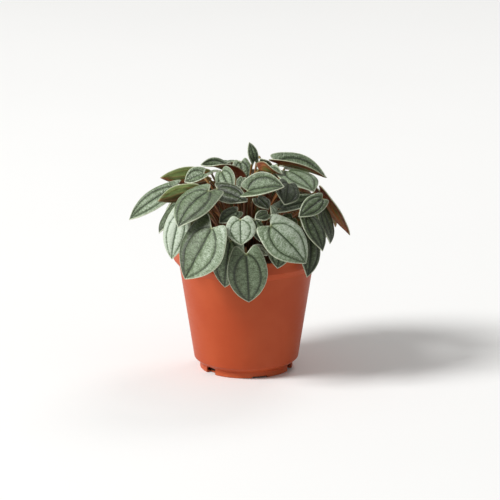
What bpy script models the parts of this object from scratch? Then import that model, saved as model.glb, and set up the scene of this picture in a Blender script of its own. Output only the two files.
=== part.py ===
"""Potted peperomia: a tapered plastic nursery pot, its potting soil, the short-stemmed crown and its leaves.

Metres, +Z up. The origin is the centre of the pot's foot, on the surface that the pot stands on.
A leaf is a heart-shaped blade grown together with its stalk, so each leaf is one solid.
"""

import math
from collections import namedtuple

import bmesh
import bpy
from mathutils import Matrix, Vector

MM = 0.001
UP = Vector((0, 0, 1))

# Pot: a four-inch nursery pot
WALL = 1.2 * MM
RIM_RADIUS = 52.5 * MM
RIM_TOP = 90 * MM
RIM_BOTTOM = 81.5 * MM
NECK_RADIUS = 48.2 * MM
NECK_HEIGHT = 76.2 * MM
RIDGE_RADIUS = 37.6 * MM
RIDGE_HEIGHT = 8 * MM
FOOT_RADIUS = 33.5 * MM
FOOT_HEIGHT = 4.5 * MM
POT_SIDES = 48
DRAIN_ANGLES = (-50, 70, 190)  # degrees round from the front, clockwise seen from above
DRAIN_WIDTH = 9.5 * MM
DRAIN_HEIGHT = 5 * MM

# Soil and crown
GAP = 0.35 * MM
SOIL_INSET = WALL * 1.1 + GAP  # the sloping wall is a little wider, measured level
SOIL_FOOT_INSET = 2 * MM
SOIL_TOP = 80 * MM
CROWN_RADIUS = 28 * MM
CROWN_HEIGHT = 7 * MM

# Leaves
BLADE_THICKNESS = 1.1 * MM
MARGIN_STEPS = 12
LOBE_DEPTH = 0.17  # how far the two basal lobes reach behind the stalk, as a share of the blade's length
STALK_RADIUS = 1.1 * MM
STALK_POINTS = 6
STALK_ENTRY = 0.06  # the stalk meets the blade this share of its length ahead of the notch
STALK_START = 0.34  # a stalk leaves the crown at this share of its joint's distance from the middle
STALK_LIFT = 8 * MM
STALK_SINK = 0.4  # the stalk's centre line starts this share of its radius above the gap over the crown

# joint and tip are where the stalk meets the blade and where the blade ends, in millimetres.
# width is a share of the length. roll, fold, cup and droop are degrees: roll turns the blade about
# its own line, fold lifts both halves off the midrib, cup curls them further, droop bends the tip down.
# sweep bows the midrib sideways by that share of the length, and twist adds to the roll towards the tip.
LEAF_DEFAULTS = (0.78, 0, 8, -30, 35, 0, 0)  # from width on
Leaf = namedtuple("Leaf", "joint tip width roll fold cup droop sweep twist", defaults=LEAF_DEFAULTS)
LEAVES = {
    # left side
    "leaf_far_left": Leaf((-51, -8, 135), (-84, -8, 111), 0.42, -35, 5, -20, 35),
    "leaf_left_under": Leaf((-36, -29, 139), (-63, -24, 129), 0.5, 95, 5, -20, 25),
    "leaf_up_left": Leaf((-30, 6, 141), (-62, 8, 138), 0.45, 70, 5, -20, 12),
    "leaf_curl_left": Leaf((-30, -16, 147.5), (-44, -18, 141.5), 1.05, -15, 5, 30, 12),
    "leaf_top_left": Leaf((-6, 12, 137), (-33, 12, 147), 0.7, 0, 30, 5, 40, 0, -75),
    "leaf_silver_top": Leaf((-17.6, -1, 145), (-9.2, -22, 134), 0.61, 0, 8, -30, 35),
    "leaf_dark_left": Leaf((-21, -27, 139), (1, -41, 133), 0.6, 0, 8, -30, 25),
    "leaf_upper_left": Leaf((-26, -41, 141), (-48, -56, 118), 0.86, 0, 8, -30, 35, 0.06),
    "leaf_left_dark": Leaf((-47, -24, 127), (-62, -27, 106), 0.75),
    "leaf_left_silver": Leaf((-46, -38, 124), (-53, -42, 91), 0.6, -25),
    "leaf_big_left": Leaf((-24, -60, 119), (-43, -62, 82), 0.95, 0, 8, -30, 35, -0.05),
    # middle
    "leaf_heart": Leaf((-4, -60, 125), (-3.5, -66, 108), 1.2, 0, 8, -25, 20),
    "leaf_bottom": Leaf((0, -66, 102), (2, -62, 65), 0.77),
    "leaf_bottom_left": Leaf((-11, -60, 110), (-15, -58, 75), 0.7),
    "leaf_centre": Leaf((1, -38, 140), (27, -44, 145), 0.9, -7, 25, 8, 20),
    "leaf_under_centre": Leaf((8, -34, 134), (16, -44, 128), 0.8),
    "leaf_small_mid": Leaf((-2.5, -14, 143.5), (-5.5, -19, 137), 0.8),
    "leaf_inner_left": Leaf((-6, -44, 127), (-19, -51, 120), 0.8),
    "leaf_small_dark": Leaf((15, -52, 127), (6, -58, 125), 0.8),
    "leaf_between": Leaf((6, -49, 122), (10, -54, 107), 0.6),
    "leaf_pale": Leaf((7, -56, 104), (15, -61, 99), 0.8),
    "leaf_curl_up": Leaf((21, -42, 121), (17, -47, 132), 0.7),
    # top
    "leaf_grey_back": Leaf((-4, 28, 145), (-1, 22, 130), 0.9, 180),
    "leaf_top_red": Leaf((9, -5.5, 148), (26, -14, 147), 0.8, -55, 45, 5, -10, 0, 80),
    "leaf_upright": Leaf((6, 5, 151), (2, 7, 165), 0.5, -115, 8, -20, 45),
    "leaf_back_small": Leaf((10, 23, 147), (19, 26, 143), 0.8, 165, 8, -25, 25),
    # right side
    "leaf_right_inner": Leaf((33, -40, 121), (25, -48, 116), 1.0),
    "leaf_top_right": Leaf((22, 13, 148), (58, 9, 138), 0.6, 28, 41, 5, 12),
    "leaf_right_silver": Leaf((30, 0, 145), (48, -26, 136), 0.85, 25),
    "leaf_right_dark": Leaf((30, -31, 144), (27, -46, 132), 1.0),
    "leaf_right_edge": Leaf((24, -38, 127), (54, -25, 134.5), 0.55, -30, 6, 15, -15),
    "leaf_right_green": Leaf((54, -36, 134), (37, -53, 125), 0.55),
    "leaf_right_red": Leaf((53, -8, 132), (74, -10, 100), 0.72, -30, 8, -20, 20, -0.12),
    "leaf_right_low": Leaf((43, -37, 122), (54, -46, 98), 0.7),
    "leaf_right_behind": Leaf((53, -20, 124), (60, -26, 98), 0.7),
    "leaf_right_bottom": Leaf((45, -24, 107), (43, -43, 78), 0.55),
    "leaf_big_right": Leaf((17, -58, 120), (42, -64, 94), 0.95),
    "leaf_tip_low": Leaf((24, -52, 106), (22, -59, 89), 0.9),
}

# The far side is filled by tiers of like leaves. A tier is its name, the count, the first and last
# angles in degrees from the right-hand side, the joints' radius and height, and the tips'.
Tier = namedtuple("Tier", "name count first last joint_radius joint_height tip_radius tip_height")
TIER_WIDTH = 0.92
TIER_SHIFT = 3.5  # millimetres
TIER_WANDER = 2.1  # step of the wave that keeps the leaves of a tier from looking alike
TIP_ASIDE, TIP_DROP, WIDTH_SPREAD = 5, 3, 0.08  # millimetres, millimetres, share of the length
TIERS = (
    Tier("leaf_back_high", 4, 37, 143, 34, 143, 57, 133),
    Tier("leaf_back_middle", 8, 22, 151, 55, 127, 68, 101),
    Tier("leaf_back_low", 7, 31, 142, 55.5, 111.5, 62, 79),
)


def in_mm(point):
    return Vector(point) * MM


# ---------------------------------------------------------------- scene


def clear_scene():
    for obj in list(bpy.data.objects):
        bpy.data.objects.remove(obj)


def new_collection(name):
    collection = bpy.data.collections.new(name)
    bpy.context.scene.collection.children.link(collection)
    return collection


def principled(name, colour, roughness):
    material = bpy.data.materials.new(name)
    material.use_nodes = True
    shader = material.node_tree.nodes["Principled BSDF"]
    shader.inputs["Base Color"].default_value = (*colour, 1)
    shader.inputs["Roughness"].default_value = roughness
    shader.inputs["Metallic"].default_value = 0
    return material


def add_object(name, data, collection, material=None):
    obj = bpy.data.objects.new(name, data)
    if material:
        data.materials.append(material)
    collection.objects.link(obj)
    return obj


def applied(obj):
    """The object's evaluated mesh takes the place of its data and modifiers."""
    bpy.context.view_layer.update()
    graph = bpy.context.evaluated_depsgraph_get()
    mesh = bpy.data.meshes.new_from_object(obj.evaluated_get(graph))
    mesh.name = obj.name
    if obj.type == "MESH":
        obj.modifiers.clear()
        obj.data = mesh
        return obj
    made = bpy.data.objects.new(obj.name + "_mesh", mesh)
    made.matrix_world = obj.matrix_world
    for collection in obj.users_collection:
        collection.objects.link(made)
    bpy.data.objects.remove(obj)
    work = bmesh.new()
    work.from_mesh(mesh)
    bmesh.ops.remove_doubles(work, verts=work.verts, dist=0.01 * MM)
    work.to_mesh(mesh)
    work.free()
    return made


def add_boolean(obj, operation, other):
    modifier = obj.modifiers.new(operation.lower(), "BOOLEAN")
    modifier.operation = operation
    modifier.solver = "EXACT"
    modifier.object = other


# ---------------------------------------------------------------- pot, soil, crown


def turned(name, profile, collection, material, sides=POT_SIDES):
    """A profile of (radius, height) points, from the top down its outer side, turned round the Z axis."""
    mesh = bpy.data.meshes.new(name)
    points = [(radius, 0, height) for radius, height in profile]
    mesh.from_pydata(points, [(i, i + 1) for i in range(len(points) - 1)], [])
    obj = add_object(name, mesh, collection, material)
    screw = obj.modifiers.new("turn", "SCREW")
    screw.steps = screw.render_steps = sides
    screw.use_merge_vertices = True
    screw.merge_threshold = 0.0001
    return obj


def pot_profile():
    return [
        (RIM_RADIUS, RIM_TOP),
        (RIM_RADIUS, RIM_BOTTOM),
        (NECK_RADIUS, NECK_HEIGHT),
        (RIDGE_RADIUS, RIDGE_HEIGHT),
        (FOOT_RADIUS, FOOT_HEIGHT),
        (FOOT_RADIUS, 0),
        (0, 0),
    ]


def make_pot(parts, cutters):
    pot = turned("pot", pot_profile(), parts, principled("terracotta_plastic", (0.5, 0.1, 0.04), 0.45))
    shell = pot.modifiers.new("wall", "SOLIDIFY")
    shell.thickness = WALL
    shell.offset = -1
    shell.use_even_offset = True
    for angle in DRAIN_ANGLES:
        bpy.ops.mesh.primitive_cube_add(size=1)
        cutter = bpy.context.object
        cutter.name = f"drain_cutter_{angle}"
        for collection in cutter.users_collection:
            collection.objects.unlink(cutter)
        cutters.objects.link(cutter)
        cutter.hide_render = True
        cutter.display_type = "WIRE"
        cutter.scale = (DRAIN_WIDTH, 8 * MM, 2 * DRAIN_HEIGHT)
        cutter.location = Matrix.Rotation(math.radians(angle), 4, "Z") @ Vector((0, -FOOT_RADIUS, 0))
        cutter.rotation_euler = (0, 0, math.radians(angle))
        add_boolean(pot, "DIFFERENCE", cutter)
    return pot


def make_soil(parts):
    """Fills the pot with a small gap to its wall, and stops short of the rim."""
    neck_slope = (NECK_RADIUS - RIDGE_RADIUS) / (NECK_HEIGHT - RIDGE_HEIGHT)
    top, foot = NECK_RADIUS - SOIL_INSET, FOOT_RADIUS - SOIL_INSET - SOIL_FOOT_INSET
    profile = [
        (0, SOIL_TOP),
        (top, SOIL_TOP),
        (top, NECK_HEIGHT),
        (RIDGE_RADIUS - SOIL_INSET + neck_slope * MM, RIDGE_HEIGHT + MM),
        (foot, FOOT_HEIGHT + MM),
        (foot, WALL + GAP),
        (0, WALL + GAP),
    ]
    return turned("soil", profile, parts, principled("potting_soil", (0.03, 0.02, 0.014), 0.95))


def crown_height(radius):
    """Height of the crown's top above the origin at a distance from the middle."""
    return SOIL_TOP + GAP + CROWN_HEIGHT * math.sqrt(max(0, 1 - (radius / CROWN_RADIUS) ** 2))


def make_crown(parts):
    """The short stems that the stalks grow from, as one low mound standing on the soil."""
    steps = [CROWN_RADIUS * math.sin(math.radians(15 * i)) for i in range(7)]
    profile = [(radius, crown_height(radius)) for radius in steps] + [(0, SOIL_TOP + GAP)]
    return turned("crown", profile, parts, principled("crown_stem", (0.16, 0.1, 0.04), 0.7), 24)


# ---------------------------------------------------------------- leaves


def smooth(t):
    return t * t * (3 - 2 * t)


def margin_point(u):
    """Half of the heart's outline: (share of the half-width, share of the length), from notch to tip."""
    angle = math.pi * u
    across = math.sin(angle) ** (0.85 + 1.05 * smooth(u)) if 0 < u < 1 else 0.0
    forward = ((1 - math.cos(angle)) / 2) ** 1.4
    lobe = 2 * angle * math.exp((1 - (2 * angle) ** 2) / 2)
    return across, forward - LOBE_DEPTH * lobe


class Blade:
    """The curved surface of one leaf's blade."""

    def __init__(self, leaf):
        joint, tip = in_mm(leaf.joint), in_mm(leaf.tip)
        line = (tip - joint).normalized()
        middle = (joint + tip) / 2
        facing = UP + Vector((middle.x, middle.y, 0)).normalized()
        normal = (facing - line * facing.dot(line)).normalized()
        normal = Matrix.Rotation(math.radians(leaf.roll), 3, line) @ normal
        self.turn = math.radians(leaf.droop)
        half_turn = self.turn / 2
        self.length = (tip - joint).length * half_turn / math.sin(half_turn)
        self.half_width = self.length * leaf.width / 2
        self.sweep = leaf.sweep * self.length
        self.fold, self.cup, self.twist = map(math.radians, (leaf.fold, leaf.cup, leaf.twist))
        self.joint = joint
        self.side = line.cross(normal)
        self.tangent = line * math.cos(half_turn) + normal * math.sin(half_turn)
        self.normal = normal * math.cos(half_turn) - line * math.sin(half_turn)

    def point(self, ring, turn):
        """ring runs from the joint (0) to the margin (1), and turn round from notch to notch (-1 to 1)."""
        across, along = margin_point(1 - abs(turn))
        return self.place(math.copysign(across, turn) * ring * self.half_width, along * ring * self.length)

    def place(self, across, along):
        """The point of the curved blade at that distance across it and along it."""
        bend = self.turn * along / self.length
        radius = self.length / self.turn
        spine = self.joint + self.tangent * radius * math.sin(bend)
        spine -= self.normal * radius * (1 - math.cos(bend))
        outward = self.normal * math.cos(bend) + self.tangent * math.sin(bend)
        curl = self.cup * abs(across) / self.half_width or 1e-6
        reach = across * (math.sin(self.fold + curl) - math.sin(self.fold)) / curl
        lift = abs(across) * (math.cos(self.fold) - math.cos(self.fold + curl)) / curl
        share = along / self.length
        reach += self.sweep * 4 * share * (1 - share)
        twist = self.twist * share
        side = self.side * math.cos(twist) - outward * math.sin(twist)
        outward = outward * math.cos(twist) + self.side * math.sin(twist)
        return spine + side * reach + outward * lift


def make_blade(name, blade, collection, material):
    mesh = bpy.data.meshes.new(name)
    work = bmesh.new()
    bmesh.ops.create_grid(work, x_segments=MARGIN_STEPS, y_segments=2, size=1)
    for vertex in work.verts:
        vertex.co = blade.point((vertex.co.y + 1) / 2, vertex.co.x)
    bmesh.ops.remove_doubles(work, verts=work.verts, dist=0.01 * MM)
    work.to_mesh(mesh)
    work.free()
    obj = add_object(name, mesh, collection, material)
    shell = obj.modifiers.new("thickness", "SOLIDIFY")
    shell.thickness = BLADE_THICKNESS
    shell.offset = 0
    return applied(obj)


def stalk_route(blade):
    """Out of the crown, up in an arch, and into the blade from below and behind."""
    end = blade.place(0, STALK_ENTRY * blade.length)
    start = Vector((end.x, end.y, 0)) * STALK_START
    start.z = crown_height(start.length) + GAP + STALK_SINK * STALK_RADIUS
    reach = (end - start).length
    arrival = (blade.tangent * 0.35 + blade.normal * 0.65).normalized()
    gap = end - start
    first = start + Vector((gap.x * 0.12, gap.y * 0.12, gap.z * 0.5 + STALK_LIFT))
    second = end - arrival * 0.28 * reach
    route = []
    for step in range(STALK_POINTS):
        t = step / (STALK_POINTS - 1)
        s = 1 - t
        route.append(start * s**3 + first * 3 * s * s * t + second * 3 * s * t * t + end * t**3)
    return route


def make_stalk(name, blade, collection):
    route = stalk_route(blade)
    curve = bpy.data.curves.new(name, "CURVE")
    curve.dimensions = "3D"
    curve.bevel_depth = STALK_RADIUS
    curve.bevel_resolution = 0
    curve.use_fill_caps = True
    spline = curve.splines.new("POLY")
    spline.points.add(len(route) - 1)
    for point, place in zip(spline.points, route):
        point.co = (*place, 1)
    return applied(add_object(name, curve, collection))


def make_leaf(name, leaf, parts, cutters, material):
    blade = Blade(leaf)
    obj = make_blade(name, blade, parts, material)
    stalk = make_stalk(name + "_stalk", blade, cutters)
    stalk.hide_render = True
    stalk.display_type = "WIRE"
    add_boolean(obj, "UNION", stalk)
    return obj


def tier_leaves(tier):
    """The leaves of one tier: every other one is lower and closer in, and each hangs a little its own way."""
    for index in range(tier.count):
        angle = math.radians(tier.first + (tier.last - tier.first) * index / (tier.count - 1))
        radial = Vector((math.cos(angle), math.sin(angle), 0))
        shift = (radial + UP) * (-TIER_SHIFT if index % 2 else 0)
        wander = math.sin(TIER_WANDER * (index + tier.tip_height))
        joint = radial * tier.joint_radius + UP * (tier.joint_height + wander) + shift
        aside = UP.cross(radial) * (TIP_ASIDE * wander)
        tip = radial * tier.tip_radius + UP * (tier.tip_height + TIP_DROP * wander) + aside + shift
        yield f"{tier.name}_{index + 1}", Leaf(joint, tip, TIER_WIDTH - WIDTH_SPREAD * wander)


def main():
    clear_scene()
    parts = new_collection("potted_peperomia")
    cutters = new_collection("cutters")
    make_pot(parts, cutters)
    make_soil(parts)
    make_crown(parts)
    green = principled("leaf", (0.2, 0.29, 0.2), 0.45)
    leaves = list(LEAVES.items())
    for tier in TIERS:
        leaves += tier_leaves(tier)
    for name, leaf in leaves:
        make_leaf(name, leaf, parts, cutters, green)


main()
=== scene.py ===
"""Looks of the potted peperomia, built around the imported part: its leaves, crown, soil and pot."""

import math
import zlib
from collections import namedtuple

import bmesh
import bpy
import numpy as np
from mathutils import Matrix, Vector


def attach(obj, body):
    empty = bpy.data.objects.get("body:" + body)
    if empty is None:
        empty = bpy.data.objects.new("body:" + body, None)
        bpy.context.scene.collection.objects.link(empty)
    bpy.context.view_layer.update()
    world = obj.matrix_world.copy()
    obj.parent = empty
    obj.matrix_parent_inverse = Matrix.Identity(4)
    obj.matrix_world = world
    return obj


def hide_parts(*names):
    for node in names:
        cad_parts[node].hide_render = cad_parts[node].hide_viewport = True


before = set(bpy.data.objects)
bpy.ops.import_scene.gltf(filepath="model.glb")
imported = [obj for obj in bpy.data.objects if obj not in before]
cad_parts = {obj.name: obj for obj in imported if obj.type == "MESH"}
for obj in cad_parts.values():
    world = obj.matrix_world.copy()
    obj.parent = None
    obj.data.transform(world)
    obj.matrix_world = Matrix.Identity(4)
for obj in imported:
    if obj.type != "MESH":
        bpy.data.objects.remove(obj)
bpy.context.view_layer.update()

MM = 0.001
UP = np.array((0.0, 0.0, 1.0))

# ---------------------------------------------------------------- the part's own measures

WALL = 1.2
RIM_RADIUS, RIM_TOP, RIM_BOTTOM = 52.5, 90, 81.5
NECK_RADIUS, NECK_HEIGHT = 48.2, 76.2
RIDGE_RADIUS, RIDGE_HEIGHT = 37.6, 8
FOOT_RADIUS, FOOT_HEIGHT = 33.5, 4.5
DRAIN_ANGLES = (-50, 70, 190)
DRAIN_WIDTH, DRAIN_HEIGHT = 9.5, 5
GAP = 0.35
SOIL_TOP = 80
CROWN_RADIUS, CROWN_HEIGHT = 28, 7
LOBE_DEPTH = 0.17
STALK_RADIUS = 1.1
STALK_ENTRY = 0.06
STALK_START = 0.34
STALK_LIFT = 8
STALK_SINK = 0.4  # a stalk's centre line starts this share of its radius above the gap over the crown

# joint and tip are where the stalk meets the blade and where the blade ends. width is a share of the length.
# roll, fold, cup and droop are degrees. sweep bows the midrib sideways, and twist adds to the roll.
LEAF_DEFAULTS = (0.78, 0, 8, -30, 35, 0, 0)  # from width on
Leaf = namedtuple("Leaf", "joint tip width roll fold cup droop sweep twist", defaults=LEAF_DEFAULTS)
LEAVES = {
    # left side
    "leaf_far_left": Leaf((-51, -8, 135), (-84, -8, 111), 0.42, -35, 5, -20, 35),
    "leaf_left_under": Leaf((-36, -29, 139), (-63, -24, 129), 0.5, 95, 5, -20, 25),
    "leaf_up_left": Leaf((-30, 6, 141), (-62, 8, 138), 0.45, 70, 5, -20, 12),
    "leaf_curl_left": Leaf((-30, -16, 147.5), (-44, -18, 141.5), 1.05, -15, 5, 30, 12),
    "leaf_top_left": Leaf((-6, 12, 137), (-33, 12, 147), 0.7, 0, 30, 5, 40, 0, -75),
    "leaf_silver_top": Leaf((-17.6, -1, 145), (-9.2, -22, 134), 0.61, 0, 8, -30, 35),
    "leaf_dark_left": Leaf((-21, -27, 139), (1, -41, 133), 0.6, 0, 8, -30, 25),
    "leaf_upper_left": Leaf((-26, -41, 141), (-48, -56, 118), 0.86, 0, 8, -30, 35, 0.06),
    "leaf_left_dark": Leaf((-47, -24, 127), (-62, -27, 106), 0.75),
    "leaf_left_silver": Leaf((-46, -38, 124), (-53, -42, 91), 0.6, -25),
    "leaf_big_left": Leaf((-24, -60, 119), (-43, -62, 82), 0.95, 0, 8, -30, 35, -0.05),
    # middle
    "leaf_heart": Leaf((-4, -60, 125), (-3.5, -66, 108), 1.2, 0, 8, -25, 20),
    "leaf_bottom": Leaf((0, -66, 102), (2, -62, 65), 0.77),
    "leaf_bottom_left": Leaf((-11, -60, 110), (-15, -58, 75), 0.7),
    "leaf_centre": Leaf((1, -38, 140), (27, -44, 145), 0.9, -7, 25, 8, 20),
    "leaf_under_centre": Leaf((8, -34, 134), (16, -44, 128), 0.8),
    "leaf_small_mid": Leaf((-2.5, -14, 143.5), (-5.5, -19, 137), 0.8),
    "leaf_inner_left": Leaf((-6, -44, 127), (-19, -51, 120), 0.8),
    "leaf_small_dark": Leaf((15, -52, 127), (6, -58, 125), 0.8),
    "leaf_between": Leaf((6, -49, 122), (10, -54, 107), 0.6),
    "leaf_pale": Leaf((7, -56, 104), (15, -61, 99), 0.8),
    "leaf_curl_up": Leaf((21, -42, 121), (17, -47, 132), 0.7),
    # top
    "leaf_grey_back": Leaf((-4, 28, 145), (-1, 22, 130), 0.9, 180),
    "leaf_top_red": Leaf((9, -5.5, 148), (26, -14, 147), 0.8, -55, 45, 5, -10, 0, 80),
    "leaf_upright": Leaf((6, 5, 151), (2, 7, 165), 0.5, -115, 8, -20, 45),
    "leaf_back_small": Leaf((10, 23, 147), (19, 26, 143), 0.8, 165, 8, -25, 25),
    # right side
    "leaf_right_inner": Leaf((33, -40, 121), (25, -48, 116), 1.0),
    "leaf_top_right": Leaf((22, 13, 148), (58, 9, 138), 0.6, 28, 41, 5, 12),
    "leaf_right_silver": Leaf((30, 0, 145), (48, -26, 136), 0.85, 25),
    "leaf_right_dark": Leaf((30, -31, 144), (27, -46, 132), 1.0),
    "leaf_right_edge": Leaf((24, -38, 127), (54, -25, 134.5), 0.55, -30, 6, 15, -15),
    "leaf_right_green": Leaf((54, -36, 134), (37, -53, 125), 0.55),
    "leaf_right_red": Leaf((53, -8, 132), (74, -10, 100), 0.72, -30, 8, -20, 20, -0.12),
    "leaf_right_low": Leaf((43, -37, 122), (54, -46, 98), 0.7),
    "leaf_right_behind": Leaf((53, -20, 124), (60, -26, 98), 0.7),
    "leaf_right_bottom": Leaf((45, -24, 107), (43, -43, 78), 0.55),
    "leaf_big_right": Leaf((17, -58, 120), (42, -64, 94), 0.95),
    "leaf_tip_low": Leaf((24, -52, 106), (22, -59, 89), 0.9),
}
# tone runs from a dark leaf (0) to a silvery one (1): partly the leaf's own colour, partly painted shade on
# leaves that sit in shade and painted sheen on silvery ones. red is how far the red of the underside reaches
# over its green middle. The third number paints one side of the midrib paler than the other, as painted
# shade, and moves that green.
Look = namedtuple("Look", "tone red lean", defaults=(0.6, 0))
LOOKS = {
    "leaf_far_left": Look(0.6, lean=-0.1),
    "leaf_left_under": Look(0.15, 0.5, -0.5),
    "leaf_up_left": Look(0.55, 0.42, -0.35),
    "leaf_curl_left": Look(0.45),
    "leaf_top_left": Look(0.45, 0.9),
    "leaf_silver_top": Look(0.64),
    "leaf_dark_left": Look(0.05),
    "leaf_upper_left": Look(0.4, lean=0.12),
    "leaf_left_dark": Look(0.35),
    "leaf_left_silver": Look(1.05, lean=0.12),
    "leaf_big_left": Look(0.42, lean=-0.35),
    "leaf_heart": Look(0.86, lean=-0.05),
    "leaf_bottom": Look(0.4, lean=-0.15),
    "leaf_bottom_left": Look(0.5, lean=-0.3),
    "leaf_centre": Look(0.44),
    "leaf_under_centre": Look(0.3),
    "leaf_small_mid": Look(0.4),
    "leaf_inner_left": Look(0.2),
    "leaf_small_dark": Look(0.1),
    "leaf_between": Look(0.3),
    "leaf_pale": Look(1.0),
    "leaf_curl_up": Look(0.9),
    "leaf_grey_back": Look(0.4),
    "leaf_top_red": Look(0.6, 0.9),
    "leaf_upright": Look(0.4),
    "leaf_back_small": Look(0.55),
    "leaf_right_inner": Look(0.3),
    "leaf_top_right": Look(0.45, 0.8),
    "leaf_right_silver": Look(0.56),
    "leaf_right_dark": Look(0.0),
    "leaf_right_edge": Look(0.5),
    "leaf_right_green": Look(0.4),
    "leaf_right_red": Look(0.5, 1.05),
    "leaf_right_low": Look(0.25),
    "leaf_right_behind": Look(0.1),
    "leaf_right_bottom": Look(0.2),
    "leaf_big_right": Look(0.78, lean=-0.15),
    "leaf_tip_low": Look(0.4),
}
# The hidden side has tiers of leaves between two angles, in degrees from the right-hand side.
Tier = namedtuple("Tier", "name count first last joint_radius joint_height tip_radius tip_height")
TIER_WIDTH = 0.92
TIER_SHIFT = 3.5  # every other leaf sits this far in and down
TIER_WANDER = 2.1  # step of the sine that makes the tiers irregular
TIP_ASIDE, TIP_DROP, WIDTH_SPREAD = 5, 3, 0.08  # what the irregularity adds at most
TIERS = (
    Tier("leaf_back_high", 4, 37, 143, 34, 143, 57, 133),
    Tier("leaf_back_middle", 8, 22, 151, 55, 127, 68, 101),
    Tier("leaf_back_low", 7, 31, 142, 55.5, 111.5, 62, 79),
)

# ---------------------------------------------------------------- measures of the looks, in millimetres

LATERALS = (0.6, 0.84)  # side veins, as shares of the way from the midrib to the margin
ROWS = 52
COLUMNS = (
    0, 0.02, 0.045, 0.08, 0.13, 0.19, 0.25, 0.31, 0.37, 0.43, 0.49, 0.54, 0.575, 0.6, 0.625, 0.66,
    0.7, 0.74, 0.78, 0.815, 0.84, 0.865, 0.89, 0.915, 0.94, 0.965, 0.983, 0.994, 1,
)
FULL_LENGTH = 30  # a shorter blade has smaller relief
HALF_THICKNESS = 0.45
ROUNDING = 0.7
QUILT, QUILT_SLOPE = 0.7, 1.5
VEIN_DIP = 0.4
MIDRIB_REACH, LATERAL_REACH = 0.97, 0.93  # how far the veins run, as shares of the way to the tip
MIDRIB_WIDTH, LATERAL_WIDTH, OUTER_WIDTH, EDGE_WIDTH = 0.5, 0.4, 0.5, 0.5
JOINT_SPOT = 1.3
LADDER = 4.6  # spacing of the cross veins
MIDRIB_RIDGE, LATERAL_RIDGE = 0.55, 0.25
WAVE = 0.35
TUBE_RINGS, TUBE_SIDES = 30, 14
MIDRIB_FLAT = 0.6  # the fold at the midrib is rounded over about this distance
RELIEF_SHIFT, RELIEF_WIDTH, RELIEF_HEIGHT = 67, 11.6, 1.4  # shallow gaps between the pot's drain notches
NOTCH_STEPS = 12
POT_SIDES, SOIL_SIDES, CROWN_SIDES = 240, 200, 150
CLOD_COUNT, CLOD_REACH, PALE_EVERY = 420, 45.5, 9
KNOB_COUNT, GOLDEN_ANGLE = 60, 2.39996


def unit(vector):
    return vector / np.linalg.norm(vector)


def smooth(t):
    t = np.clip(t, 0, 1)
    return t * t * (3 - 2 * t)


def seeded(name):
    return np.random.default_rng(zlib.crc32(name.encode()))


def ripple(rng, x, y, wavelength, waves=5):
    """Smooth random relief between about -1 and 1, from a few crossing waves."""
    total = np.zeros(np.broadcast(x, y).shape)
    for _ in range(waves):
        heading, phase = rng.uniform(0, 2 * math.pi, 2)
        step = 2 * math.pi / (wavelength * rng.uniform(0.7, 1.5))
        total += np.sin((x * math.cos(heading) + y * math.sin(heading)) * step + phase)
    return total / math.sqrt(waves * 2)


# ---------------------------------------------------------------- leaf shape


def margin(u):
    """Half of the heart's outline as in the part: (share of the half-width, share of the length)."""
    angle = math.pi * np.asarray(u, float)
    across = np.maximum(np.sin(angle), 0) ** (0.85 + 1.05 * smooth(u))
    forward = ((1 - np.cos(angle)) / 2) ** 1.4
    lobe = 2 * angle * np.exp((1 - (2 * angle) ** 2) / 2)
    return across, forward - LOBE_DEPTH * lobe


def flat_point(u, v):
    """Lines of equal v arch from the joint to the tip; v = 0 is the midrib and |v| = 1 the margin."""
    wide, far = margin(u)
    share = np.abs(v) ** 4
    across = (1 - share) * np.abs(v) * np.maximum(np.sin(math.pi * u**0.8), 0) + share * wide
    return np.copysign(across, v), (1 - share) * u + share * far


class Blade:
    """The part's curved blade, in millimetres, on arrays of points."""

    def __init__(self, leaf):
        joint, tip = np.array(leaf.joint, float), np.array(leaf.tip, float)
        line = unit(tip - joint)
        middle = (joint + tip) / 2
        facing = UP + unit(middle * (1, 1, 0))
        normal = unit(facing - line * facing.dot(line))
        roll = math.radians(leaf.roll)
        normal = normal * math.cos(roll) + np.cross(line, normal) * math.sin(roll)
        self.turn = math.radians(leaf.droop)
        half_turn = self.turn / 2
        self.length = np.linalg.norm(tip - joint) * half_turn / math.sin(half_turn)
        self.half_width = self.length * leaf.width / 2
        self.sweep = leaf.sweep * self.length
        self.fold, self.cup, self.twist = map(math.radians, (leaf.fold, leaf.cup, leaf.twist))
        self.joint = joint
        self.side = np.cross(line, normal)
        self.tangent = line * math.cos(half_turn) + normal * math.sin(half_turn)
        self.normal = normal * math.cos(half_turn) - line * math.sin(half_turn)

    def place(self, across, along):
        across, along = np.broadcast_arrays(np.asarray(across, float), np.asarray(along, float))
        bend = self.turn * along / self.length
        radius = self.length / self.turn
        spine = self.joint + np.multiply.outer(radius * np.sin(bend), self.tangent)
        spine -= np.multiply.outer(radius * (1 - np.cos(bend)), self.normal)
        outward = np.multiply.outer(np.cos(bend), self.normal) + np.multiply.outer(np.sin(bend), self.tangent)
        distance = np.sqrt(across**2 + MIDRIB_FLAT**2) - MIDRIB_FLAT
        curl = self.cup * np.maximum(distance, 0.001) / self.half_width
        reach = across * (np.sin(self.fold + curl) - math.sin(self.fold)) / curl
        lift = distance * (math.cos(self.fold) - np.cos(self.fold + curl)) / curl
        share = along / self.length
        reach = (reach + self.sweep * 4 * share * (1 - share))[..., None]
        cosine, sine = np.cos(self.twist * share)[..., None], np.sin(self.twist * share)[..., None]
        side, outward = self.side * cosine - outward * sine, outward * cosine + self.side * sine
        return spine + side * reach + outward * lift[..., None]

    def normals(self, across, along, step=0.3):
        over = self.place(across + step, along) - self.place(across - step, along)
        ahead = self.place(across, along + step) - self.place(across, along - step)
        normal = np.cross(over, ahead)
        return normal / np.linalg.norm(normal, axis=-1, keepdims=True)


def distance_to(points, line):
    """Distance from each flat point to a flat line of closely spaced points."""
    gaps = points[..., None, :] - line
    return np.sqrt((gaps**2).sum(-1).min(-1))


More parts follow.
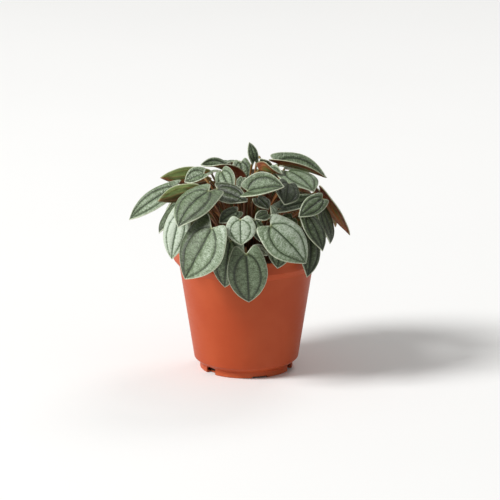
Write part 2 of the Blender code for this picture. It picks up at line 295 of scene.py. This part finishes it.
def sheet_faces(rows, wide):
    """Faces of the top and underside, which share their margin, with material numbers 0 and 1."""
    number = np.arange(rows * wide).reshape(rows, wide)
    number[0], number[-1] = number[0, 0], number[-1, 0]
    under = number + rows * wide
    under[0], under[-1] = number[0], number[-1]
    under[:, 0], under[:, -1] = number[:, 0], number[:, -1]
    faces, kinds = [], []
    for kind, grid in enumerate((number, under)):
        corners = [grid[:-1, :-1], grid[:-1, 1:], grid[1:, 1:], grid[1:, :-1]]
        quads = np.stack(corners if kind == 0 else corners[::-1], -1).reshape(-1, 4)
        for quad in quads.tolist():
            face = [corner for i, corner in enumerate(quad) if corner != quad[i - 1]]
            if len(face) > 2:
                faces.append(face)
                kinds.append(kind)
    return faces, kinds


def leaf_mesh(name, leaf):
    """Vertices, faces, material numbers and named vertex values of one leaf and its stalk."""
    rng = seeded(name)
    tone, red, lean = LOOKS.get(name) or Look(0.3 + 0.4 * seeded(name + "tone").uniform())
    blade = Blade(leaf)
    columns = np.array(COLUMNS)
    v = np.concatenate((-columns[:0:-1], columns))[None, :]
    u = ((1 - np.cos(np.linspace(0, math.pi, ROWS + 1))) / 2)[:, None]
    size = np.array((blade.half_width, blade.length))
    flat = np.stack(np.broadcast_arrays(*flat_point(u, v)), -1) * size
    across, along = flat[..., 0], flat[..., 1]

    fine = np.linspace(0, 1, 160)
    veins = []
    for place in (0, LATERALS[0], -LATERALS[0], LATERALS[1], -LATERALS[1]):
        reach = fine * (MIDRIB_REACH if place == 0 else LATERAL_REACH)
        veins.append(distance_to(flat, np.stack(flat_point(reach, np.full_like(reach, place)), -1) * size))
    midrib, laterals, outer = veins[0], np.minimum(veins[1], veins[2]), np.minimum(veins[3], veins[4])
    half = np.stack(margin(fine), -1) * size
    rim = np.minimum(distance_to(flat, half), distance_to(flat, half * (-1, 1)))
    rim[:, (0, -1)] = rim[(0, -1), :] = 0

    scale = min(1.0, blade.length / FULL_LENGTH)
    nearest = np.minimum.reduce((midrib, laterals * 1.2, outer * 1.5 + 1.4, rim + 1.2))
    bands = 0.8 * (np.abs(v) > LATERALS[0]) + 0.5 * (np.abs(v) > LATERALS[1]) + 0.37 * (v > 0)
    slant = along - 0.45 * np.abs(across) + 0.9 * ripple(rng, across, along, 14)
    spacing = LADDER * (0.55 + 0.45 * scale)
    ladder = np.abs(np.sin(math.pi * (slant / spacing + bands + rng.uniform()))) ** 0.6
    quilt = np.tanh(nearest / (QUILT_SLOPE * scale)) * (0.72 + 0.28 * ladder)
    wave = WAVE * scale * ripple(rng, across, along, 22 * scale + 4)
    edge = np.sqrt(np.clip(1 - (1 - np.minimum(rim / ROUNDING, 1)) ** 2, 0, 1))
    ease = smooth(rim / 1.6)
    top = HALF_THICKNESS * edge + ease * scale * (QUILT * quilt - VEIN_DIP)
    ridge = MIDRIB_RIDGE * np.exp(-((midrib / 0.8) ** 2)) * (1 - 0.8 * u)
    ridge = ridge + LATERAL_RIDGE * np.exp(-((laterals / 0.6) ** 2))
    bottom = HALF_THICKNESS * edge + ease * scale * ridge
    normal = blade.normals(across, along)
    middle = blade.place(across, along) + normal * (wave * smooth(along / (0.3 * blade.length)))[..., None]
    sheets = (middle + normal * top[..., None], middle - normal * bottom[..., None])

    faces, kinds = sheet_faces(*across.shape)
    points = np.concatenate([sheet.reshape(-1, 3) for sheet in sheets])
    core = smooth(1.35 - 1.25 * np.abs(v - lean) ** 1.3) * np.sin(math.pi * np.clip(u, 0, 1)) ** 0.5
    values = {
        "vein": np.maximum.reduce((
            np.exp(-((midrib / (MIDRIB_WIDTH * scale)) ** 2)),
            0.8 * np.exp(-((laterals / (LATERAL_WIDTH * scale)) ** 2)) * smooth(2.2 - 2.1 * u),
            0.1 * np.exp(-((outer / (OUTER_WIDTH * scale)) ** 2)) * smooth(1.5 - 1.7 * u),
        )),
        "edge": np.exp(-((rim / EDGE_WIDTH) ** 2)),
        # The quilting's relief is also a colour mask: painted sheen on the bulges, painted shade in the
        # grooves.
        "quilt": quilt,
        "core": core,
        "joint": np.exp(-((np.hypot(across, along) / (JOINT_SPOT * scale)) ** 2)),
        "ahead": u + 0 * v,
    }
    values = {key: np.tile(value.ravel(), 2) for key, value in values.items()}
    flow = np.tile(np.stack((across, along, 0 * across + 37 * rng.uniform()), -1).reshape(-1, 3), (2, 1))

    tube, tube_faces, tube_flow = stalk_mesh(blade, rng)
    shift = len(points)
    faces += [[corner + shift for corner in face] for face in tube_faces]
    kinds += [2] * len(tube_faces)
    points = np.concatenate((points, tube))
    flow = np.concatenate((flow, tube_flow))
    values = {key: np.concatenate((value, np.zeros(len(tube)))) for key, value in values.items()}
    values["ahead"][shift:] = tube_flow[:, 1] / tube_flow[:, 1].max()
    values["tone"], values["red"] = np.full(len(points), tone), np.full(len(points), red)
    # Painted shade: the tone rises across the blade, so one side of the midrib is paler than the other.
    values["tone"][:shift] += np.tile(np.broadcast_to(lean * v, u.shape[:1] + v.shape[1:]).ravel(), 2)
    return points, faces, kinds, values, flow


def crown_height(radius):
    return SOIL_TOP + GAP + CROWN_HEIGHT * math.sqrt(max(0, 1 - (radius / CROWN_RADIUS) ** 2))


def stalk_route(blade):
    """The part's route: out of the crown, up in an arch, and into the blade from below and behind."""
    end = blade.place(0, STALK_ENTRY * blade.length)
    start = end * (STALK_START, STALK_START, 0)
    start[2] = crown_height(np.linalg.norm(start)) + GAP + STALK_SINK * STALK_RADIUS
    reach = np.linalg.norm(end - start)
    arrival = unit(blade.tangent * 0.35 + blade.normal * 0.65)
    first = start + (end - start) * (0.12, 0.12, 0.5) + UP * STALK_LIFT
    second = end - arrival * 0.28 * reach
    t = np.linspace(0, 0.99, TUBE_RINGS)[:, None]
    s = 1 - t
    return start * s**3 + first * 3 * s * s * t + second * 3 * s * t * t + end * t**3


def stalk_mesh(blade, rng):
    """A fleshy stalk: swollen where it leaves the crown, slightly ribbed, and flared into the blade."""
    route = stalk_route(blade)
    steps = np.linalg.norm(np.diff(route, axis=0), axis=1)
    travelled = np.concatenate(([0], np.cumsum(steps)))
    share = travelled / travelled[-1]
    girth = 0.86 + 0.3 * np.exp(-share * 14) - 0.12 * smooth(share * 1.3) + 0.1 * np.exp(-(1 - share) * 30)
    girth = STALK_RADIUS * girth
    girth *= 1 - 0.45 * smooth((share - 0.95) / 0.05)
    angles = np.linspace(0, 2 * math.pi, TUBE_SIDES, endpoint=False)
    tangents = np.gradient(route, axis=0)
    across = unit(np.cross(tangents[0], (0.3, 1, 0.2)))
    rings = []
    for index, (centre, tangent) in enumerate(zip(route, tangents)):
        tangent = unit(tangent)
        across = unit(across - tangent * across.dot(tangent))
        other = np.cross(tangent, across)
        bumps = 1 + 0.05 * np.sin(3 * angles + 5 * share[index]) + 0.025 * rng.uniform(-1, 1, TUBE_SIDES)
        ring = np.multiply.outer(np.cos(angles), across) + np.multiply.outer(np.sin(angles), other)
        rings.append(centre + ring * (girth[index] * bumps)[:, None])
    points = np.concatenate(rings + [route[:1] - tangents[:1] * 0.1, route[-1:]])
    faces = []
    for ring in range(TUBE_RINGS - 1):
        for side in range(TUBE_SIDES):
            a, b = ring * TUBE_SIDES + side, ring * TUBE_SIDES + (side + 1) % TUBE_SIDES
            faces.append([a, b, b + TUBE_SIDES, a + TUBE_SIDES])
    foot, head = len(points) - 2, len(points) - 1
    last = (TUBE_RINGS - 1) * TUBE_SIDES
    for side in range(TUBE_SIDES):
        beside = (side + 1) % TUBE_SIDES
        faces.append([foot, beside, side])
        faces.append([head, last + side, last + beside])
    round_way = np.concatenate((np.tile(angles, TUBE_RINGS), (0, 0)))
    length_way = np.concatenate((np.repeat(travelled, TUBE_SIDES), (0, travelled[-1])))
    flow = np.stack((np.cos(round_way), length_way, np.sin(round_way)), -1)
    return points, faces, flow


# ---------------------------------------------------------------- materials


class Nodes:
    """Short calls for building one material's node tree."""

    def __init__(self, name, **sockets):
        self.material = bpy.data.materials.new(name)
        self.material.use_nodes = True
        self.tree = self.material.node_tree
        self.shader = self.tree.nodes["Principled BSDF"]
        for key, value in sockets.items():
            self.shader.inputs[key.replace("_", " ")].default_value = value

    def add(self, kind, output=0, settings=None, **inputs):
        node = self.tree.nodes.new("ShaderNode" + kind)
        for key, value in (settings or {}).items():
            setattr(node, key, value)
        for key, value in inputs.items():
            socket = node.inputs[int(key[1:])] if key[1:].isdigit() else node.inputs[key.replace("_", " ")]
            self.put(socket, value)
        return node.outputs[output]

    def put(self, socket, value):
        if isinstance(value, bpy.types.NodeSocket):
            self.tree.links.new(value, socket)
        else:
            socket.default_value = value

    def value(self, name):
        return self.add("Attribute", 2, {"attribute_name": name})

    def flow(self, scale=(1, 1, 1)):
        vector = self.add("Attribute", 1, {"attribute_name": "flow"})
        return self.add("Mapping", Vector=vector, Scale=scale)

    def math(self, operation, a, b=0.0, clamp=False):
        return self.add("Math", 0, {"operation": operation, "use_clamp": clamp}, i0=a, i1=b)

    def total(self, base, *terms):
        """base plus each term's value, less its centre, times its gain, held between 0 and 1."""
        for value, centre, gain in terms:
            base = self.math("ADD", base, self.math("MULTIPLY", self.math("SUBTRACT", value, centre), gain))
        return self.math("ADD", base, 0.0, True)

    def noise(self, vector, scale, detail=3.0, roughness=0.55):
        return self.add("TexNoise", 0, Vector=vector, Scale=scale, Detail=detail, Roughness=roughness)

    def spread(self, value, low, high, to_low=0.0, to_high=1.0):
        return self.add(
            "MapRange", 0, {"interpolation_type": "SMOOTHSTEP"}, Value=value,
            From_Min=low, From_Max=high, To_Min=to_low, To_Max=to_high,
        )

    def mix(self, factor, a, b):
        return self.add("Mix", 2, {"data_type": "RGBA"}, i0=factor, i6=a, i7=b)

    def ramp(self, value, *stops):
        node = self.tree.nodes.new("ShaderNodeValToRGB")
        ramp = node.color_ramp
        while len(ramp.elements) < len(stops):
            ramp.elements.new(1)
        for element, (position, colour) in zip(ramp.elements, stops):
            element.position = position
            element.color = rgb(colour)
        self.put(node.inputs[0], value)
        return node.outputs[0]

    def bump(self, height, strength, distance, normal=None):
        inputs = {"Height": height, "Strength": strength, "Distance": distance}
        if normal is not None:
            inputs["Normal"] = normal
        return self.add("Bump", 0, None, **inputs)

    def finish(self, colour, roughness, normal=None):
        for key, value in (("Base Color", colour), ("Roughness", roughness), ("Normal", normal)):
            if value is not None:
                self.put(self.shader.inputs[key], value)
        return self.material


def rgb(code):
    """An sRGB colour such as "8fa88c" in Blender's linear values."""
    values = [int(code[i : i + 2], 16) / 255 for i in (0, 2, 4)]
    return (*[value / 12.92 if value <= 0.04045 else ((value + 0.055) / 1.055) ** 2.4 for value in values], 1)


def leaf_top_material():
    n = Nodes("leaf_top", Specular_IOR_Level=0.55)
    grain = n.noise(n.flow(), 1.4, 4, 0.75)
    wrinkle = n.noise(n.flow((0.45, 1.6, 1)), 0.6, 3, 0.6)
    # The leaf's tone sets how light the blade is: partly its own colour, partly painted shade on shaded
    # leaves and painted sheen on silvery ones.
    level = n.total(
        n.value("tone"),
        (n.noise(n.flow(), 0.16, 3), 0.5, 0.45),
        (wrinkle, 0.5, 0.55),
        (grain, 0.5, 1.5),
        (n.noise(n.flow(), 0.85, 2, 0.5), 0.5, 0.6),
        # Painted sheen on the quilted bulges and painted shade in the grooves by the veins.
        (n.value("quilt"), 0.7, 0.5),
    )
    blade = n.ramp(level, (0, "2e3820"), (0.3, "475537"), (0.6, "6f8161"), (0.85, "96a78c"), (1, "bac6b3"))
    dark = n.ramp(n.value("tone"), (0, "121b08"), (0.5, "192711"), (1, "20361b"))
    fade = n.math("MULTIPLY", n.value("vein"), n.spread(n.value("ahead"), 1.0, 0.55, 0.7, 1.0))
    colour = n.mix(fade, blade, dark)
    pale = n.mix(n.spread(grain, 0.3, 0.7), rgb("b9c4a0"), rgb("e2e8d4"))
    colour = n.mix(n.math("MULTIPLY", n.value("edge"), 0.95), colour, pale)
    colour = n.mix(n.math("MULTIPLY", n.value("joint"), 0.6), colour, rgb("8f9a5a"))
    cells = n.add("TexVoronoi", 0, {"feature": "SMOOTH_F1"}, Vector=n.flow(), Scale=1.1, Smoothness=0.5)
    normal = n.bump(cells, 0.5, 0.0003)
    normal = n.bump(wrinkle, 0.8, 0.0009, normal)
    normal = n.bump(grain, 0.6, 0.0003, normal)
    return n.finish(colour, n.spread(grain, 0.25, 0.75, 0.43, 0.27), normal)


def leaf_under_material():
    n = Nodes("leaf_underside", Specular_IOR_Level=0.3)
    grain = n.noise(n.flow(), 1.2, 4, 0.7)
    level = n.total(
        n.value("core"),
        (n.noise(n.flow((1, 0.22, 1)), 0.45, 4, 0.6), 0.5, 1.3),
        (n.value("red"), 0.5, -1.0),
    )
    colour = n.ramp(level, (0, "743519"), (0.3, "96592e"), (0.5, "806832"), (0.7, "5f7038"), (1, "8fa862"))
    # Painted shade: an underside with a low tone is darkened towards a dark olive.
    colour = n.mix(n.spread(n.value("tone"), 0.0, 0.5, 0.75, 0.0), colour, rgb("3a431f"))
    colour = n.mix(n.spread(grain, 0.35, 0.75, 0.0, 0.45), colour, rgb("4a321c"))
    colour = n.mix(n.math("MULTIPLY", n.value("vein"), 0.5), colour, rgb("8f5a38"))
    colour = n.mix(n.math("MULTIPLY", n.value("edge"), 0.6), colour, rgb("b9bd96"))
    normal = n.bump(grain, 0.5, 0.0003)
    return n.finish(colour, n.spread(grain, 0.2, 0.8, 0.42, 0.6), normal)


def stalk_material():
    n = Nodes("leaf_stalk", Specular_IOR_Level=0.35)
    streaks = n.noise(n.flow((1.4, 0.09, 1.4)), 1.6, 4, 0.6)
    speckle = n.noise(n.flow((1, 0.6, 1)), 2.6, 2)
    # The stalk darkens towards the crown: partly its own brown-to-olive colour, partly painted shade deep
    # under the leaves.
    level = n.total(n.value("ahead"), (streaks, 0.5, 0.9))
    colour = n.ramp(level, (0, "2c1a0a"), (0.45, "5a3617"), (0.8, "825328"), (1, "8a783e"))
    colour = n.mix(n.spread(speckle, 0.55, 0.75, 0.0, 0.5), colour, rgb("4e2716"))
    normal = n.bump(streaks, 0.4, 0.0002)
    return n.finish(colour, n.spread(speckle, 0.2, 0.8, 0.4, 0.55), normal)


def pot_material():
    n = Nodes("terracotta_plastic", Specular_IOR_Level=0.18)
    place = n.add("TexCoord", 3)
    cloud = n.noise(place, 28, 3)
    fine = n.noise(place, 900, 2)
    scuff = n.noise(n.add("Mapping", Vector=place, Scale=(1, 1, 7)), 160, 5, 0.7)
    colour = n.mix(n.spread(cloud, 0.35, 0.7), rgb("af4925"), rgb("b5502b"))
    colour = n.mix(n.spread(scuff, 0.66, 0.8, 0.0, 0.3), colour, rgb("bc6040"))
    # Paler patches: wear at the rim top and the foot, and a painted highlight along the ridge.
    wear_and_highlight_mix = n.math("MULTIPLY", n.value("wear"), n.spread(scuff, 0.4, 0.7, 0.15, 0.7))
    colour = n.mix(wear_and_highlight_mix, colour, rgb("cf7a4e"))
    normal = n.bump(fine, 0.25, 0.00008)
    normal = n.bump(cloud, 0.15, 0.0006, normal)
    return n.finish(colour, n.spread(scuff, 0.35, 0.75, 0.4, 0.52), normal)


def soil_material():
    n = Nodes("potting_mix", Specular_IOR_Level=0.25)
    place = n.add("TexCoord", 3)
    clods = n.noise(place, 260, 5, 0.7)
    fibres = n.noise(n.add("Mapping", Vector=place, Scale=(1, 5, 2)), 420, 4)
    colour = n.ramp(clods, (0.3, "1c130d"), (0.5, "33241a"), (0.62, "4a3626"), (0.75, "6b5238"))
    colour = n.mix(n.spread(fibres, 0.6, 0.75, 0.0, 0.6), colour, rgb("5e4630"))
    colour = n.mix(n.value("grain"), colour, rgb("b9b3a4"))
    normal = n.bump(clods, 0.9, 0.001)
    return n.finish(colour, n.spread(clods, 0.3, 0.7, 0.95, 0.75), normal)


def crown_material():
    n = Nodes("crown_stem", Specular_IOR_Level=0.35)
    place = n.add("TexCoord", 3)
    patches = n.noise(place, 150, 4, 0.6)
    fine = n.noise(place, 900, 3)
    colour = n.ramp(patches, (0.3, "2e1a12"), (0.48, "5a3321"), (0.6, "6d4d2b"), (0.75, "6f6a3a"))
    colour = n.mix(n.math("MULTIPLY", n.value("scar"), 0.7), colour, rgb("8a6a44"))
    normal = n.bump(patches, 0.6, 0.0008)
    normal = n.bump(fine, 0.4, 0.0002, normal)
    return n.finish(colour, n.spread(fine, 0.3, 0.7, 0.5, 0.75), normal)


# ---------------------------------------------------------------- building pieces


def add_piece(name, points, faces, materials, kinds=None, values=None, flow=None):
    """A smooth-shaded mesh from points in millimetres, with named vertex values for its materials."""
    mesh = bpy.data.meshes.new(name)
    mesh.from_pydata((np.asarray(points) * MM).tolist(), [], faces)
    for material in materials:
        mesh.materials.append(material)
    if kinds is not None:
        mesh.polygons.foreach_set("material_index", np.array(kinds, np.int32))
    mesh.polygons.foreach_set("use_smooth", np.ones(len(faces), bool))
    for key, value in (values or {}).items():
        mesh.attributes.new(key, "FLOAT", "POINT").data.foreach_set("value", np.asarray(value, np.float32))
    if flow is not None:
        layer = mesh.attributes.new("flow", "FLOAT_VECTOR", "POINT")
        layer.data.foreach_set("vector", np.asarray(flow, np.float32).ravel())
    mesh.update()
    obj = bpy.data.objects.new(name, mesh)
    bpy.context.scene.collection.objects.link(obj)
    return obj


def drop_loose(obj):
    """Deletes the vertices that no face uses."""
    work = bmesh.new()
    work.from_mesh(obj.data)
    bmesh.ops.delete(work, geom=[vertex for vertex in work.verts if not vertex.link_faces], context="VERTS")
    work.to_mesh(obj.data)
    work.free()


def stands_for(piece, node):
    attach(piece, "root")
    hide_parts(node)


def tier_leaves(tier):
    for index in range(tier.count):
        angle = math.radians(tier.first + (tier.last - tier.first) * index / (tier.count - 1))
        radial = np.array((math.cos(angle), math.sin(angle), 0))
        shift = (radial + UP) * (-TIER_SHIFT if index % 2 else 0)
        wander = math.sin(TIER_WANDER * (index + tier.tip_height))
        joint = radial * tier.joint_radius + UP * (tier.joint_height + wander) + shift
        aside = np.cross(UP, radial) * (TIP_ASIDE * wander)
        tip = radial * tier.tip_radius + UP * (tier.tip_height + TIP_DROP * wander) + aside + shift
        yield f"{tier.name}_{index + 1}", Leaf(joint, tip, TIER_WIDTH - WIDTH_SPREAD * wander)


def make_leaves():
    materials = (leaf_top_material(), leaf_under_material(), stalk_material())
    leaves = list(LEAVES.items())
    for tier in TIERS:
        leaves += tier_leaves(tier)
    for name, leaf in leaves:
        points, faces, kinds, values, flow = leaf_mesh(name, leaf)
        piece = add_piece("look_" + name, points, faces, materials, kinds, values, flow)
        drop_loose(piece)
        stands_for(piece, name)


def filleted(profile, radii, steps=6):
    """The (radius, height) profile with each corner between its ends rounded to its radius."""
    points = [np.array(point, float) for point in profile]
    made = [points[0]]
    for before, corner, after, radius in zip(points, points[1:], points[2:], radii):
        back, ahead = unit(before - corner), unit(after - corner)
        half = math.acos(max(-1, min(1, back.dot(ahead)))) / 2
        cut = radius / math.tan(half)
        centre = corner + unit(back + ahead) * radius / math.sin(half)
        start, end = corner + back * cut - centre, corner + ahead * cut - centre
        for step in range(steps + 1):
            t = step / steps
            made.append(centre + unit(start * (1 - t) + end * t) * radius)
    return made + [points[-1]]


def divided(profile, longest):
    """The profile with its long straight runs cut into even steps."""
    made = [profile[0]]
    for before, after in zip(profile, profile[1:]):
        count = max(1, math.ceil(np.linalg.norm(np.subtract(after, before)) / longest))
        made += [np.add(before, np.subtract(after, before) * (i + 1) / count) for i in range(count)]
    return made


def revolved(profile, sides):
    """Points and faces of a profile turned round the Z axis; both its ends lie on the axis."""
    angles = np.linspace(0, 2 * math.pi, sides, endpoint=False)
    inner = np.array(profile[1:-1])
    rings = [np.stack((r * np.cos(angles), r * np.sin(angles), np.full(sides, z)), -1) for r, z in inner]
    points = np.concatenate(rings + [[(0, 0, profile[0][1])], [(0, 0, profile[-1][1])]])
    first, last = len(points) - 2, len(points) - 1
    faces = []
    for side in range(sides):
        beside = (side + 1) % sides
        faces.append([first, side, beside])
        for ring in range(len(inner) - 1):
            a, b = ring * sides, (ring + 1) * sides
            faces.append([a + side, b + side, b + beside, a + beside])
        end = (len(inner) - 1) * sides
        faces.append([last, end + beside, end + side])
    return points, faces


def make_pot():
    outer = [
        (RIM_RADIUS, RIM_TOP), (RIM_RADIUS, RIM_BOTTOM), (NECK_RADIUS, NECK_HEIGHT),
        (RIDGE_RADIUS, RIDGE_HEIGHT), (FOOT_RADIUS, FOOT_HEIGHT), (FOOT_RADIUS, 0), (0, 0),
    ]
    inner = [
        (0, WALL), (FOOT_RADIUS - WALL, WALL), (FOOT_RADIUS - WALL, FOOT_HEIGHT + 0.7),
        (RIDGE_RADIUS - WALL, RIDGE_HEIGHT + 0.7), (NECK_RADIUS - WALL, NECK_HEIGHT + 0.4),
        (RIM_RADIUS - WALL, RIM_BOTTOM + 0.4), (RIM_RADIUS - WALL, RIM_TOP),
    ]
    corner_radii = (0.8, 0.8, 0.8, 2.5, 1.2, 0.5, 0.5, 0.7, 1.0, 0.9, 0.6, 0.7)
    profile = divided(filleted(inner + outer, corner_radii), 6)
    points, faces = revolved(profile[::-1], POT_SIDES)
    pot = add_piece("look_pot", points, faces, [pot_material()])
    turn_outward(pot)
    for angle in DRAIN_ANGLES:
        cut_foot(pot, angle, DRAIN_WIDTH, DRAIN_HEIGHT)
        cut_foot(pot, angle + RELIEF_SHIFT, RELIEF_WIDTH, RELIEF_HEIGHT)
    mesh = pot.data
    heights = np.array([vertex.co.z for vertex in mesh.vertices]) / MM
    # Wear at the rim top and the bottom of the foot; the band along the ridge is a painted highlight.
    wear = np.maximum(np.exp(-(((heights - RIM_TOP) / 1.2) ** 2)), np.exp(-((heights / 1.5) ** 2)))
    wear = np.maximum(wear, 0.6 * np.exp(-(((heights - RIDGE_HEIGHT + 1) / 0.7) ** 2)))
    mesh.attributes.new("wear", "FLOAT", "POINT").data.foreach_set("value", wear.astype(np.float32))
    mesh.set_sharp_from_angle(angle=math.radians(40))
    stands_for(pot, "pot")


def turn_outward(obj):
    work = bmesh.new()
    work.from_mesh(obj.data)
    bmesh.ops.recalc_face_normals(work, faces=work.faces)
    work.to_mesh(obj.data)
    work.free()


def cut_foot(pot, angle, width, height):
    """Cuts a notch with rounded upper corners through the foot of the pot."""
    outline = [(-width / 2, -4)]
    for step in range(NOTCH_STEPS + 1):
        turn = math.pi * (1 - step / NOTCH_STEPS)
        outline.append((
            math.copysign(abs(math.cos(turn)) ** 0.35, math.cos(turn)) * width / 2,
            height * (0.6 + 0.4 * math.sin(turn) ** 0.6),
        ))
    outline.append((width / 2, -4))
    points = [(x, y, z) for y in (-FOOT_RADIUS - 6, -FOOT_RADIUS + 4) for x, z in outline]
    count = len(outline)
    faces = [list(range(count)), list(range(2 * count - 1, count - 1, -1))]
    faces += [[(i + 1) % count, i, i + count, (i + 1) % count + count] for i in range(count)]
    cutter = add_piece("cutter", points, faces, [])
    cutter.data.transform(Matrix.Rotation(math.radians(angle), 4, "Z"))
    turn_outward(cutter)
    modifier = pot.modifiers.new("cut", "BOOLEAN")
    modifier.operation, modifier.solver, modifier.object = "DIFFERENCE", "EXACT", cutter
    bpy.context.view_layer.update()
    graph = bpy.context.evaluated_depsgraph_get()
    mesh = bpy.data.meshes.new_from_object(pot.evaluated_get(graph))
    pot.modifiers.clear()
    pot.data = mesh
    bpy.data.objects.remove(cutter)


def make_soil():
    """Crumbly potting mix that fills the pot, with loose clods and a few pale grains on top."""
    rng = seeded("soil")
    inset = WALL + GAP + 0.15
    # what the wall widens by in a millimetre of height
    slope = (NECK_RADIUS - RIDGE_RADIUS) / (NECK_HEIGHT - RIDGE_HEIGHT)
    profile = [
        (0, SOIL_TOP), (NECK_RADIUS - inset, SOIL_TOP), (NECK_RADIUS - inset, NECK_HEIGHT),
        (RIDGE_RADIUS - inset + slope, RIDGE_HEIGHT + 1), (FOOT_RADIUS - inset - 2, FOOT_HEIGHT + 1),
        (FOOT_RADIUS - inset - 2, WALL + GAP), (0, WALL + GAP),
    ]
    points, faces = revolved(divided(profile, 1.1), SOIL_SIDES)
    x, y, z = points.T
    top = z > SOIL_TOP - 0.5
    lumps = 0.55 * ripple(rng, x, y, 9) + 0.4 * ripple(rng, x, y, 4) + 0.25 * ripple(rng, x, y, 2.2, 8)
    z[top] += np.minimum(lumps[top] - 0.5, 0.25)
    points[:, :2] *= (1 - 0.006 * (1 + ripple(rng, z + 3 * x, y, 7)) * (z > 3))[:, None]
    pieces, piece_faces, pale = [points], list(faces), [np.zeros(len(points))]
    count = len(points)
    ball = bmesh.new()
    bmesh.ops.create_icosphere(ball, subdivisions=2, radius=1)
    sphere = np.array([vertex.co for vertex in ball.verts])
    sphere_faces = [[vertex.index for vertex in face.verts] for face in ball.faces]
    ball.free()
    for index in range(CLOD_COUNT):
        radius = CLOD_REACH * math.sqrt(rng.uniform(0.02, 1))
        angle = rng.uniform(0, 2 * math.pi)
        size = rng.uniform(0.5, 1.5)
        lumpy = 1 + 0.25 * ripple(rng, sphere[:, 0] + sphere[:, 2], sphere[:, 1] - sphere[:, 2], 1.6)
        clod = sphere * lumpy[:, None] * rng.uniform(0.6, 1.1, 3) * size
        clod += (radius * math.cos(angle), radius * math.sin(angle), SOIL_TOP - 0.35)
        pieces.append(clod)
        piece_faces += [[corner + count for corner in face] for face in sphere_faces]
        pale.append(np.full(len(clod), 1.0 if index % PALE_EVERY == 0 else 0.0))
        count += len(clod)
    values = {"grain": np.concatenate(pale)}
    soil = add_piece("look_soil", np.concatenate(pieces), piece_faces, [soil_material()], values=values)
    stands_for(soil, "soil")


def make_crown():
    """A knobbly mound of short stems with the scars of old leaves."""
    rng = seeded("crown")
    steps = np.linspace(0, math.pi / 2, 46)
    profile = [(CROWN_RADIUS * math.sin(a), SOIL_TOP + GAP + CROWN_HEIGHT * math.cos(a)) for a in steps]
    points, faces = revolved(profile + [(0, SOIL_TOP + GAP)], CROWN_SIDES)
    x, y, z = points.T
    knobs = []
    for index in range(KNOB_COUNT):
        radius = (CROWN_RADIUS - 2) * math.sqrt((index + 0.5) / KNOB_COUNT)
        angle = index * GOLDEN_ANGLE + rng.uniform(-0.2, 0.2)
        knobs.append((radius * math.cos(angle), radius * math.sin(angle), rng.uniform(1.6, 2.6)))
    near = np.full(len(points), 9.0)
    for kx, ky, size in knobs:
        near = np.minimum(near, np.hypot(x - kx, y - ky) / size)
    bulge = np.exp(-(near**2) * 1.3)
    ring = np.exp(-(((near - 0.45) / 0.16) ** 2))
    height = (z - SOIL_TOP - GAP) / CROWN_HEIGHT
    z += smooth(height * 4) * (1.1 * bulge - 0.35 * ring - 1.0 + 0.25 * ripple(rng, x, y, 3))
    crown = add_piece("look_crown", points, faces, [crown_material()], values={"scar": ring})
    stands_for(crown, "crown")


# ---------------------------------------------------------------- floor, light, camera

ELEVATION = math.radians(15.2)
DISTANCE = 3.0
TARGET = Vector((0.0027, 0, 0.0866))
LENS, SENSOR = 300, 36
FLOOR_REACH = 30000


def make_floor():
    points = [(x * FLOOR_REACH, y * FLOOR_REACH, 0) for x, y in ((-1, -1), (1, -1), (1, 1), (-1, 1))]
    n = Nodes("floor", Specular_IOR_Level=0.2)
    tint = n.noise(n.add("TexCoord", 3), 3, 2)
    material = n.finish(n.mix(tint, rgb("f6f6f5"), rgb("f2f2f1")), 0.7)
    floor = add_piece("floor", points, [[0, 1, 2, 3]], [material])
    floor.location.z = -0.0001


def aim(obj, place, target):
    obj.location = place
    obj.rotation_euler = (Vector(target) - Vector(place)).to_track_quat("-Z", "Y").to_euler()


def add_light(name, place, size, power, target=(0, 0, 0.1)):
    data = bpy.data.lights.new(name, "AREA")
    data.shape = "DISK"
    data.size = size
    data.energy = power
    light = bpy.data.objects.new(name, data)
    bpy.context.scene.collection.objects.link(light)
    aim(light, place, target)


def make_stage():
    make_floor()
    world = bpy.data.worlds.new("studio")
    bpy.context.scene.world = world
    world.use_nodes = True
    background = world.node_tree.nodes["Background"]
    background.inputs["Color"].default_value = (1, 0.988, 0.965, 1)
    background.inputs["Strength"].default_value = 0.33
    add_light("key", (-3.8, -1.4, 3.6), 1.9, 305)
    add_light("rim", (0.7, 1.2, 1.6), 0.8, 7)
    camera = bpy.data.objects.new("camera", bpy.data.cameras.new("camera"))
    bpy.context.scene.collection.objects.link(camera)
    camera.data.lens = LENS
    camera.data.sensor_width = SENSOR
    camera.data.clip_end = 200
    offset = Vector((0, -math.cos(ELEVATION), math.sin(ELEVATION))) * DISTANCE
    aim(camera, TARGET + offset, TARGET)
    bpy.context.scene.camera = camera
    bpy.context.scene.view_settings.view_transform = "Standard"


make_stage()
make_pot()
make_soil()
make_crown()
make_leaves()
